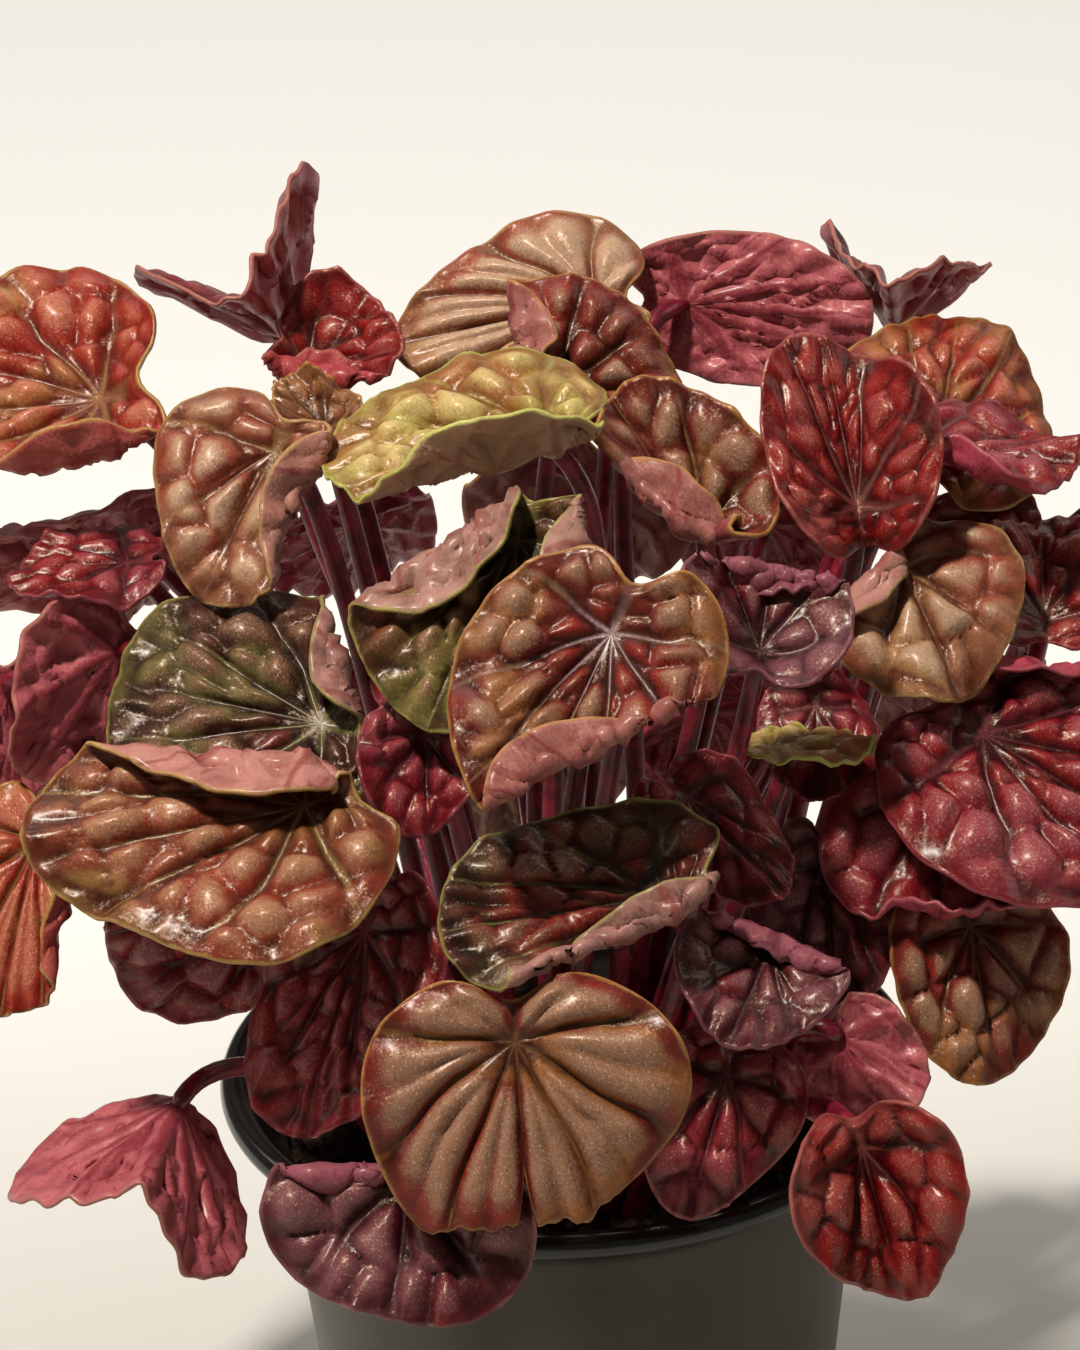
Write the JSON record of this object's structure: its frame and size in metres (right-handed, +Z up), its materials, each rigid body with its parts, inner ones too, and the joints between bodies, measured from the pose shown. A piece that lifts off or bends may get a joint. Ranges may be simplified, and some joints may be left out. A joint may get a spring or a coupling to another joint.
{
  "type": "potted quito peperomia",
  "caption": "Potted quito peperomia: a dense tuft of quilted wine-red, bronze and olive leaves on long red stalks, in soil in a tapered dark plastic nursery pot.",
  "frame": {"origin": "centre of the pot's foot, on the surface that the pot stands on", "axes": "+Z up along the pot's axis; -Y towards the viewer of the picture; +X to the viewer's right"},
  "size_m": [0.2253, 0.191, 0.2563],
  "materials": {
    "leaf_bronze": "satin",
    "leaf_green": "satin",
    "leaf_olive": "satin",
    "leaf_orange": "satin",
    "leaf_plum": "satin",
    "leaf_red": "satin",
    "leaf_rose": "satin",
    "leaf_rust": "satin",
    "leaf_tan": "satin",
    "leaf_umber": "satin",
    "leaf_wine": "satin",
    "soil": "matte",
    "pot": "satin"
  },
  "bodies": {
    "root": {"leaf_01": "leaf_orange", "leaf_02": "leaf_rose", "leaf_03": "leaf_rose", "leaf_04": "leaf_red", "leaf_05": "leaf_bronze", "leaf_06": "leaf_tan", "leaf_07": "leaf_green", "leaf_08": "leaf_olive", "leaf_09": "leaf_tan", "leaf_10": "leaf_bronze", "leaf_11": "leaf_rose", "leaf_12": "leaf_bronze", "leaf_13": "leaf_red", "leaf_14": "leaf_orange", "leaf_15": "leaf_wine", "leaf_16": "leaf_rose", "leaf_17": "leaf_plum", "leaf_18": "leaf_tan", "leaf_19": "leaf_wine", "leaf_20": "leaf_bronze", "leaf_21": "leaf_umber", "leaf_22": "leaf_rust", "leaf_23": "leaf_wine", "leaf_24": "leaf_umber", "leaf_25": "leaf_bronze", "leaf_26": "leaf_wine", "leaf_27": "leaf_rose", "leaf_28": "leaf_rose", "leaf_29": "leaf_plum", "leaf_30": "leaf_wine", "leaf_31": "leaf_plum", "leaf_32": "leaf_wine", "leaf_33": "leaf_red", "leaf_34": "leaf_rose", "leaf_35": "leaf_bronze", "leaf_36": "leaf_wine", "leaf_37": "leaf_wine", "leaf_38": "leaf_rose", "leaf_39": "leaf_rose", "leaf_40": "leaf_wine", "leaf_41": "leaf_orange", "leaf_42": "leaf_red", "leaf_43": "leaf_rose", "leaf_44": "leaf_rose", "leaf_45": "leaf_plum", "leaf_46": "leaf_wine", "leaf_47": "leaf_green", "leaf_48": "leaf_bronze", "leaf_49": "leaf_wine", "leaf_50": "leaf_bronze", "leaf_51": "leaf_wine", "leaf_52": "leaf_orange", "leaf_53": "leaf_wine", "leaf_54": "leaf_red", "leaf_55": "leaf_olive", "leaf_56": "leaf_wine", "leaf_57": "leaf_bronze", "leaf_58": "leaf_wine", "soil": "soil", "pot": "pot"}
  },
  "joints": []
}
